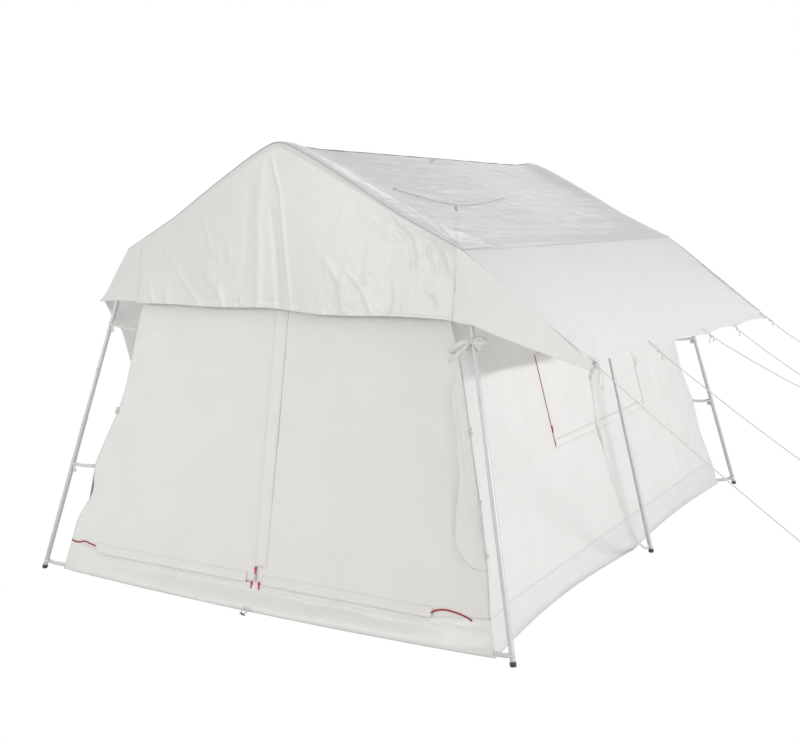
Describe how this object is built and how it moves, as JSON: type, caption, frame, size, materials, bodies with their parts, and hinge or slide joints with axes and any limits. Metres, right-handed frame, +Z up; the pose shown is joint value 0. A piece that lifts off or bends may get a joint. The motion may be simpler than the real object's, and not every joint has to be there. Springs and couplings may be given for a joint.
{
  "type": "disaster relief tent",
  "caption": "Self-standing ridge tent on a plug-together tube frame: fly with side awnings, hung inner tent, zipped door and windows.",
  "frame": {"origin": "centre of the groundsheet's underside, on the ground", "axes": "+Z up, +Y from the front door towards the rear wall, +X across the gable towards the side whose awning is held out"},
  "size_m": [4.9271, 4.6106, 2.7732],
  "materials": {
    "frame_tube": "white powder coat",
    "button_steel": "plated",
    "shade_cloth": "grey shade sheet under a clear skin",
    "fly_cloth": "white coated fly",
    "gable_sheet": "glossy coated woven sheet",
    "canvas": "off-white polycotton canvas",
    "groundsheet": "coated woven sheet, half translucent",
    "zip_red": "red zip slider and pull",
    "rope": "braided white rope",
    "webbing": "flat white webbing"
  },
  "bodies": {
    "root": {"lower_leg_front_left": "frame_tube", "upper_leg_front_left": "frame_tube", "rafter_front_left": "frame_tube", "lower_leg_front_right": "frame_tube", "upper_leg_front_right": "frame_tube", "rafter_front_right": "frame_tube", "ridge_joint_front": "frame_tube", "lower_leg_mid_left": "frame_tube", "upper_leg_mid_left": "frame_tube", "rafter_mid_left": "frame_tube", "lower_leg_mid_right": "frame_tube", "upper_leg_mid_right": "frame_tube", "rafter_mid_right": "frame_tube", "ridge_joint_mid": "frame_tube", "lower_leg_rear_left": "frame_tube", "upper_leg_rear_left": "frame_tube", "rafter_rear_left": "frame_tube", "lower_leg_rear_right": "frame_tube", "upper_leg_rear_right": "frame_tube", "rafter_rear_right": "frame_tube", "ridge_joint_rear": "frame_tube", "ridge_bar_front": "frame_tube", "eave_bar_front_left": "frame_tube", "eave_bar_front_right": "frame_tube", "ridge_bar_rear": "frame_tube", "eave_bar_rear_left": "frame_tube", "eave_bar_rear_right": "frame_tube", "fly_roof": "shade_cloth", "right_awning": "fly_cloth", "front_valance": "gable_sheet", "rear_valance": "gable_sheet", "groundsheet": "groundsheet", "inner_roof": "canvas", "rear_wall": "canvas", "left_wall": "canvas", "left_window_cover": "canvas", "right_wall": "canvas", "right_window_cover": "canvas", "guy_rope_front": "rope", "guy_rope_2": "rope", "guy_rope_3": "rope", "guy_rope_4": "rope", "guy_rope_rear": "rope", "storm_strap": "webbing"},
    "leg_button_front_left": {"leg_button_front_left": "button_steel"},
    "leg_button_front_right": {"leg_button_front_right": "button_steel"},
    "leg_button_mid_left": {"leg_button_mid_left": "button_steel"},
    "leg_button_mid_right": {"leg_button_mid_right": "button_steel"},
    "leg_button_rear_left": {"leg_button_rear_left": "button_steel"},
    "leg_button_rear_right": {"leg_button_rear_right": "button_steel"},
    "front_door_left": {"front_door_left": "canvas"},
    "front_door_right": {"front_door_right": "canvas"},
    "left_flap": {"left_flap": "fly_cloth"},
    "door_zip_slider": {"door_zip_slider": "zip_red"},
    "hem_zip_slider_left": {"hem_zip_slider_left": "zip_red"},
    "hem_zip_slider_right": {"hem_zip_slider_right": "zip_red"},
    "left_window_zip_slider": {"left_window_zip_slider": "zip_red"},
    "right_window_zip_slider": {"right_window_zip_slider": "zip_red"},
    "left_window_hem": {"left_window_hem": "canvas"},
    "right_window_hem": {"right_window_hem": "canvas"}
  },
  "joints": [
    {"name": "leg_button_front_left_press", "type": "slide", "parent": "root", "child": "leg_button_front_left", "axis": [-0.0445, 0.9815, -0.1863], "range_m": [0, 0.004], "stiffness_N_per_m": 600},
    {"name": "leg_button_front_right_press", "type": "slide", "parent": "root", "child": "leg_button_front_right", "axis": [0.0445, 0.9815, -0.1863], "range_m": [0, 0.004], "stiffness_N_per_m": 600},
    {"name": "leg_button_mid_left_press", "type": "slide", "parent": "root", "child": "leg_button_mid_left", "axis": [0.9726, 0, -0.2324], "range_m": [0, 0.004], "stiffness_N_per_m": 600},
    {"name": "leg_button_mid_right_press", "type": "slide", "parent": "root", "child": "leg_button_mid_right", "axis": [-0.9726, 0, -0.2324], "range_m": [0, 0.004], "stiffness_N_per_m": 600},
    {"name": "leg_button_rear_left_press", "type": "slide", "parent": "root", "child": "leg_button_rear_left", "axis": [-0.0445, -0.9815, -0.1863], "range_m": [0, 0.004], "stiffness_N_per_m": 600},
    {"name": "leg_button_rear_right_press", "type": "slide", "parent": "root", "child": "leg_button_rear_right", "axis": [0.0445, -0.9815, -0.1863], "range_m": [0, 0.004], "stiffness_N_per_m": 600},
    {"name": "front_door_left_swing", "type": "hinge", "parent": "root", "child": "front_door_left", "pos_m": [-1.36469, -2.04372, 0.975], "axis": [0.247, 0.19, 0.9502], "range_deg": [0, 80]},
    {"name": "front_door_right_swing", "type": "hinge", "parent": "root", "child": "front_door_right", "pos_m": [1.36469, -2.04372, 0.975], "axis": [0.247, -0.19, -0.9502], "range_deg": [0, 80]},
    {"name": "left_flap_lift", "type": "hinge", "parent": "root", "child": "left_flap", "pos_m": [-1.238, 0, 2.143], "axis": [0, 1, 0], "range_deg": [0, 34]},
    {"name": "door_zip_run", "type": "slide", "parent": "front_door_left", "child": "door_zip_slider", "axis": [0, 0.1961, 0.9806], "range_m": [0, 1.46]},
    {"name": "hem_zip_left_run", "type": "slide", "parent": "root", "child": "hem_zip_slider_left", "axis": [-1, 0, 0], "range_m": [0, 1.34]},
    {"name": "left_window_zip_run", "type": "slide", "parent": "root", "child": "left_window_zip_slider", "axis": [0.2516, 0, 0.9678], "range_m": [-0.1, 0.4]},
    {"name": "left_window_roll", "type": "slide", "parent": "root", "child": "left_window_hem", "axis": [0.2516, 0, 0.9678], "range_m": [0, 0.5], "deforming": ["left_window_cover"]},
    {"name": "hem_zip_right_run", "type": "slide", "parent": "root", "child": "hem_zip_slider_right", "axis": [1, 0, 0], "range_m": [0, 1.34]},
    {"name": "right_window_zip_run", "type": "slide", "parent": "root", "child": "right_window_zip_slider", "axis": [-0.2516, 0, 0.9678], "range_m": [-0.1, 0.4]},
    {"name": "right_window_roll", "type": "slide", "parent": "root", "child": "right_window_hem", "axis": [-0.2516, 0, 0.9678], "range_m": [0, 0.5], "deforming": ["right_window_cover"]}
  ]
}
